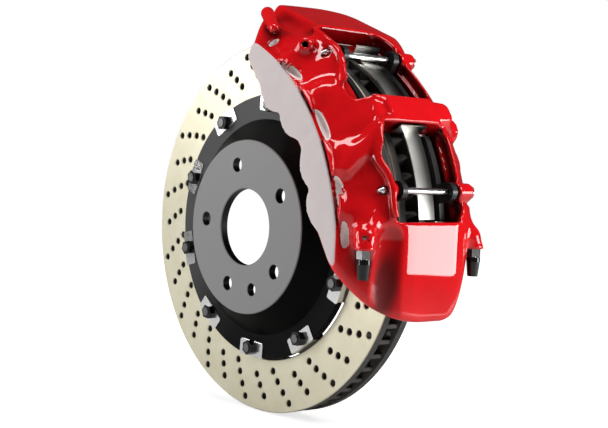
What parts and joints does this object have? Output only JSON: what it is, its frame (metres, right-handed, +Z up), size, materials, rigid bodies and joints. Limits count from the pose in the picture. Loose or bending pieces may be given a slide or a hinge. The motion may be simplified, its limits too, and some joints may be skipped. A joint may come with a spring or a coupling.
{
  "type": "brake caliper with disc",
  "caption": "Ventilated, drilled brake disc on a bolted hat, clasped by a red multi-piston fixed caliper with two open pad windows.",
  "frame": {"origin": "centre of the hub bore on the face of the hat that bolts to the hub", "axes": "+Y along the disc's axis, inboard, towards the car; -Y outboard, towards the wheel; +Z up; +X to the side of the disc that the caliper clasps"},
  "size_m": [0.3775, 0.158, 0.3887],
  "materials": {
    "disc_iron": "ground grey iron, fine turning marks",
    "hat_black": "black anodised, machined hub face",
    "bright_steel": "zinc plated or polished steel",
    "dark_steel": "phosphated steel",
    "black_steel": "black oxide steel",
    "red_lacquer": "cast aluminium under glossy red lacquer",
    "seal_rubber": "square-section rubber",
    "boot_rubber": "ribbed rubber",
    "stainless": "rolled stainless strip",
    "spring_steel": "tempered steel strip",
    "piston_alloy": "hard anodised",
    "pad_lining": "moulded friction material with fine metal flecks",
    "backplate_black": "steel under black powder coat",
    "cap_rubber": "soft black rubber"
  },
  "bodies": {
    "caliper": {"caliper_body": "red_lacquer", "piston_seals": "seal_rubber", "piston_dust_boots": "boot_rubber", "abutment_plates": "stainless", "pin_clips": "bright_steel", "pad_pin_lower": "bright_steel", "pad_pin_upper": "bright_steel", "pad_spring_lower": "spring_steel", "pad_spring_upper": "spring_steel"},
    "hat": {"disc_hat": "hat_black"},
    "ring": {"friction_ring": "disc_iron", "drive_bobbins": "bright_steel", "bobbin_washers": "bright_steel", "bobbin_screws": "dark_steel", "bobbin_nuts": "black_steel"},
    "pad_outboard_lower": {"pad_lining_outboard_lower": "pad_lining", "pad_backplate_outboard_lower": "backplate_black", "pad_shim_outboard_lower": "stainless"},
    "pad_outboard_upper": {"pad_lining_outboard_upper": "pad_lining", "pad_backplate_outboard_upper": "backplate_black", "pad_shim_outboard_upper": "stainless"},
    "piston_outboard_1": {"piston_outboard_1": "piston_alloy"},
    "piston_outboard_2": {"piston_outboard_2": "piston_alloy"},
    "piston_outboard_3": {"piston_outboard_3": "piston_alloy"},
    "piston_outboard_4": {"piston_outboard_4": "piston_alloy"},
    "pad_inboard_lower": {"pad_lining_inboard_lower": "pad_lining", "pad_backplate_inboard_lower": "backplate_black", "pad_shim_inboard_lower": "stainless"},
    "pad_inboard_upper": {"pad_lining_inboard_upper": "pad_lining", "pad_backplate_inboard_upper": "backplate_black", "pad_shim_inboard_upper": "stainless"},
    "piston_inboard_1": {"piston_inboard_1": "piston_alloy"},
    "piston_inboard_2": {"piston_inboard_2": "piston_alloy"},
    "piston_inboard_3": {"piston_inboard_3": "piston_alloy"},
    "piston_inboard_4": {"piston_inboard_4": "piston_alloy"},
    "bleed_screw_outboard": {"bleed_screw_outboard": "bright_steel"},
    "bleed_cap_outboard": {"bleed_cap_outboard": "cap_rubber"},
    "bleed_screw_inboard": {"bleed_screw_inboard": "bright_steel"},
    "bleed_cap_inboard": {"bleed_cap_inboard": "cap_rubber"}
  },
  "joints": [
    {"name": "disc_spin", "type": "hinge", "parent": "caliper", "child": "hat", "pos_m": [0, 0, 0], "axis": [0, 1, 0], "continuous": true},
    {"name": "ring_float", "type": "slide", "parent": "hat", "child": "ring", "axis": [0, 1, 0], "range_m": [-0.00015, 0.00015]},
    {"name": "pad_outboard_lower_slide", "type": "slide", "parent": "caliper", "child": "pad_outboard_lower", "axis": [0, 1, 0], "range_m": [-0.001, 0.00035]},
    {"name": "pad_outboard_upper_slide", "type": "slide", "parent": "caliper", "child": "pad_outboard_upper", "axis": [0, 1, 0], "range_m": [-0.001, 0.00035]},
    {"name": "piston_outboard_1_slide", "type": "slide", "parent": "caliper", "child": "piston_outboard_1", "axis": [0, 1, 0], "range_m": [-0.001, 0.00035]},
    {"name": "piston_outboard_2_slide", "type": "slide", "parent": "caliper", "child": "piston_outboard_2", "axis": [0, 1, 0], "range_m": [-0.001, 0.00035]},
    {"name": "piston_outboard_3_slide", "type": "slide", "parent": "caliper", "child": "piston_outboard_3", "axis": [0, 1, 0], "range_m": [-0.001, 0.00035]},
    {"name": "piston_outboard_4_slide", "type": "slide", "parent": "caliper", "child": "piston_outboard_4", "axis": [0, 1, 0], "range_m": [-0.001, 0.00035]},
    {"name": "pad_inboard_lower_slide", "type": "slide", "parent": "caliper", "child": "pad_inboard_lower", "axis": [0, -1, 0], "range_m": [-0.001, 0.00035]},
    {"name": "pad_inboard_upper_slide", "type": "slide", "parent": "caliper", "child": "pad_inboard_upper", "axis": [0, -1, 0], "range_m": [-0.001, 0.00035]},
    {"name": "piston_inboard_1_slide", "type": "slide", "parent": "caliper", "child": "piston_inboard_1", "axis": [0, -1, 0], "range_m": [-0.001, 0.00035]},
    {"name": "piston_inboard_2_slide", "type": "slide", "parent": "caliper", "child": "piston_inboard_2", "axis": [0, -1, 0], "range_m": [-0.001, 0.00035]},
    {"name": "piston_inboard_3_slide", "type": "slide", "parent": "caliper", "child": "piston_inboard_3", "axis": [0, -1, 0], "range_m": [-0.001, 0.00035]},
    {"name": "piston_inboard_4_slide", "type": "slide", "parent": "caliper", "child": "piston_inboard_4", "axis": [0, -1, 0], "range_m": [-0.001, 0.00035]},
    {"name": "bleed_screw_outboard_turn", "type": "hinge", "parent": "caliper", "child": "bleed_screw_outboard", "pos_m": [0.19, -0.0325, -0.006], "axis": [0, 0, -1], "range_deg": [0, 180]},
    {"name": "bleed_cap_outboard_pull", "type": "slide", "parent": "bleed_screw_outboard", "child": "bleed_cap_outboard", "axis": [0, 0, -1], "range_m": [0, 0.016]},
    {"name": "bleed_screw_inboard_turn", "type": "hinge", "parent": "caliper", "child": "bleed_screw_inboard", "pos_m": [0.19, 0.1025, -0.006], "axis": [0, 0, -1], "range_deg": [0, 180]},
    {"name": "bleed_cap_inboard_pull", "type": "slide", "parent": "bleed_screw_inboard", "child": "bleed_cap_inboard", "axis": [0, 0, -1], "range_m": [0, 0.016]}
  ],
  "couplings": [
    {"joint": "pad_outboard_upper_slide", "follows": "pad_outboard_lower_slide", "ratio": 1},
    {"joint": "piston_outboard_1_slide", "follows": "pad_outboard_lower_slide", "ratio": 1},
    {"joint": "piston_outboard_2_slide", "follows": "pad_outboard_lower_slide", "ratio": 1},
    {"joint": "piston_outboard_3_slide", "follows": "pad_outboard_lower_slide", "ratio": 1},
    {"joint": "piston_outboard_4_slide", "follows": "pad_outboard_lower_slide", "ratio": 1},
    {"joint": "pad_inboard_lower_slide", "follows": "pad_outboard_lower_slide", "ratio": 1},
    {"joint": "pad_inboard_upper_slide", "follows": "pad_outboard_lower_slide", "ratio": 1},
    {"joint": "piston_inboard_1_slide", "follows": "pad_outboard_lower_slide", "ratio": 1},
    {"joint": "piston_inboard_2_slide", "follows": "pad_outboard_lower_slide", "ratio": 1},
    {"joint": "piston_inboard_3_slide", "follows": "pad_outboard_lower_slide", "ratio": 1},
    {"joint": "piston_inboard_4_slide", "follows": "pad_outboard_lower_slide", "ratio": 1}
  ]
}
